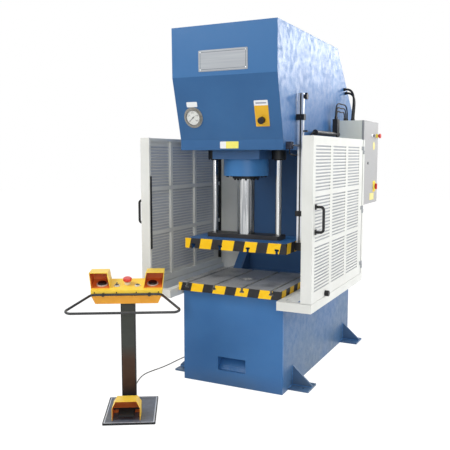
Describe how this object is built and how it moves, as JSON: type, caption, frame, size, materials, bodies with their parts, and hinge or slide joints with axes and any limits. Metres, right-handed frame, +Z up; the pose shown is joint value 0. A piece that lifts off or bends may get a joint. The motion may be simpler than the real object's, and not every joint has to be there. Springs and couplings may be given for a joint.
{
  "type": "hydraulic press",
  "caption": "Open-front hydraulic press with T-slot table, guided slide, swinging side guards, electrical cabinet and a free-standing two-hand control stand.",
  "frame": {"origin": "middle of the floor anchor holes, at floor level", "axes": "+Z up, -Y towards the operator, +X to the operator's right"},
  "size_m": [1.4683, 2.8032, 2.542],
  "materials": {
    "frame_blue": "semi-gloss machine enamel, scuffed",
    "head_blue": "semi-gloss machine enamel",
    "table_steel": "machined and oiled",
    "tape_black": "satin marking tape",
    "tape_yellow": "satin marking tape",
    "chrome_rod": "hard chrome, oiled",
    "cylinder_blue": "semi-gloss machine enamel",
    "slide_blue": "semi-gloss machine enamel",
    "crosshead_dark": "satin enamel",
    "bush_black": "black oxide",
    "bolt_black": "black oxide",
    "rail_steel": "zinc plated",
    "stop_black": "black oxide",
    "switch_grey": "cast, painted",
    "tank_grey": "primer",
    "motor_blue": "satin enamel",
    "pump_iron": "as cast",
    "valve_steel": "zinc plated",
    "cabinet_grey": "textured powder coat",
    "trunk_black": "satin",
    "conduit_black": "corrugated",
    "gland_black": "satin",
    "gauge_case": "satin enamel",
    "needle_black": "matt",
    "knob_black": "moulded",
    "plate_pale": "bare plates",
    "lock_steel": "zinc plated",
    "switch_red": "moulded",
    "stop_red": "moulded",
    "guard_pale": "powder coat",
    "stand_dark": "satin enamel, worn plate",
    "console_yellow": "moulded",
    "selector_black": "moulded",
    "start_green": "moulded",
    "ring_dark": "satin enamel",
    "hood_yellow": "semi-gloss enamel",
    "pedal_black": "ribbed",
    "cable_black": "sheath"
  },
  "bodies": {
    "frame_group": {"left_side_plate": "frame_blue", "right_side_plate": "frame_blue", "base_front_plate": "frame_blue", "table_deck": "frame_blue", "column_web": "frame_blue", "cylinder_beam": "frame_blue", "head_cover": "head_blue", "rear_cover": "head_blue", "table": "table_steel", "table_tape": "tape_black", "table_stripes": "tape_yellow", "cylinder_barrel": "cylinder_blue", "gland_ring": "bush_black", "machine_bolts": "bolt_black", "guide_bushes": "bush_black", "limit_switch": "switch_grey", "oil_tank": "tank_grey", "pump_motor": "motor_blue", "oil_pump": "pump_iron", "valve_and_pipes": "valve_steel", "cable_trunk": "trunk_black", "machine_conduits": "conduit_black", "cable_glands": "gland_black", "pressure_gauge": "gauge_case", "blank_plates": "plate_pale", "cabinet_box": "cabinet_grey", "left_guard_frame": "guard_pale", "right_guard_frame": "guard_pale", "control_stand": "stand_dark", "console_base": "console_yellow", "console_top": "console_yellow", "ring_guard": "ring_dark", "pedal_hood": "hood_yellow", "stand_cable": "cable_black"},
    "slide_group": {"slide": "slide_blue", "slide_tape": "tape_black", "slide_stripes": "tape_yellow", "crosshead": "crosshead_dark", "left_guide_rod": "chrome_rod", "right_guide_rod": "chrome_rod", "ram": "chrome_rod", "stroke_rail": "rail_steel", "stroke_stops": "stop_black"},
    "left_guard": {"left_guard_door": "guard_pale", "left_door_fittings": "knob_black"},
    "right_guard": {"right_guard_door": "guard_pale", "right_door_fittings": "knob_black"},
    "cabinet_door_group": {"cabinet_door": "cabinet_grey"},
    "cabinet_lock_group": {"cabinet_lock": "lock_steel"},
    "main_switch_group": {"main_switch": "switch_red"},
    "cabinet_stop_group": {"cabinet_stop": "stop_red"},
    "needle_group": {"gauge_needle": "needle_black"},
    "pressure_knob_group": {"pressure_knob": "knob_black"},
    "left_palm_group": {"left_palm_button": "knob_black"},
    "right_palm_group": {"right_palm_button": "knob_black"},
    "console_stop_group": {"console_stop": "stop_red"},
    "selector_group": {"mode_selector": "selector_black"},
    "start_group": {"start_button": "start_green"},
    "pedal_group": {"foot_pedal": "pedal_black"},
    "switch_lever_group": {"switch_lever": "lock_steel"}
  },
  "joints": [
    {"name": "slide_stroke", "type": "slide", "parent": "frame_group", "child": "slide_group", "axis": [0, 0, 1], "range_m": [-0.155, 0.345]},
    {"name": "left_guard_swing", "type": "hinge", "parent": "frame_group", "child": "left_guard", "pos_m": [-0.653, 0.264, 1.235], "axis": [0, 0, -1], "range_deg": [0, 100]},
    {"name": "right_guard_swing", "type": "hinge", "parent": "frame_group", "child": "right_guard", "pos_m": [0.653, 0.264, 1.235], "axis": [0, 0, 1], "range_deg": [0, 100]},
    {"name": "cabinet_door_swing", "type": "hinge", "parent": "frame_group", "child": "cabinet_door_group", "pos_m": [0.604, 0.913, 1.608], "axis": [0, 0, 1], "range_deg": [0, 115]},
    {"name": "lock_turn", "type": "hinge", "parent": "cabinet_door_group", "child": "cabinet_lock_group", "pos_m": [0.62, 0.551, 1.604], "axis": [1, 0, 0], "range_deg": [0, 90]},
    {"name": "main_switch_turn", "type": "hinge", "parent": "cabinet_door_group", "child": "main_switch_group", "pos_m": [0.62, 0.786, 1.399], "axis": [-1, 0, 0], "range_deg": [0, 90]},
    {"name": "cabinet_stop_press", "type": "slide", "parent": "cabinet_door_group", "child": "cabinet_stop_group", "axis": [1, 0, 0], "range_m": [-0.005, 0]},
    {"name": "needle_turn", "type": "hinge", "parent": "frame_group", "child": "needle_group", "pos_m": [-0.266, -0.87832, 1.93386], "axis": [0, -0.9659, -0.2589], "range_deg": [-260, 0], "stiffness_Nm_per_rad": 0.02},
    {"name": "pressure_knob_turn", "type": "hinge", "parent": "frame_group", "child": "pressure_knob_group", "pos_m": [0.257, -0.87084, 1.90597], "axis": [0, -0.9659, -0.2589], "range_deg": [-150, 150]},
    {"name": "left_palm_press", "type": "slide", "parent": "frame_group", "child": "left_palm_group", "axis": [0.1136, -0.1968, 0.9738], "range_m": [-0.006, 0], "stiffness_N_per_m": 800, "springref_m": 0.003},
    {"name": "right_palm_press", "type": "slide", "parent": "frame_group", "child": "right_palm_group", "axis": [0.1136, -0.1968, 0.9738], "range_m": [-0.006, 0], "stiffness_N_per_m": 800, "springref_m": 0.003},
    {"name": "console_stop_press", "type": "slide", "parent": "frame_group", "child": "console_stop_group", "axis": [0.1136, -0.1968, 0.9738], "range_m": [-0.005, 0]},
    {"name": "selector_turn", "type": "hinge", "parent": "frame_group", "child": "selector_group", "pos_m": [-0.54054, -1.43926, 0.80912], "axis": [0.1136, -0.1968, 0.9738], "range_deg": [-45, 45]},
    {"name": "start_press", "type": "slide", "parent": "frame_group", "child": "start_group", "axis": [0.1136, -0.1968, 0.9738], "range_m": [-0.004, 0], "stiffness_N_per_m": 600, "springref_m": 0.002},
    {"name": "pedal_press", "type": "hinge", "parent": "frame_group", "child": "pedal_group", "pos_m": [-0.36332, -1.59421, 0.054], "axis": [0.866, 0.5, 0], "range_deg": [0, 6], "stiffness_Nm_per_rad": 12, "springref_deg": -5.73},
    {"name": "switch_lever_swing", "type": "hinge", "parent": "frame_group", "child": "switch_lever_group", "pos_m": [0.428, -0.747, 1.737], "axis": [1, 0, 0], "range_deg": [-25, 25], "stiffness_Nm_per_rad": 1}
  ]
}
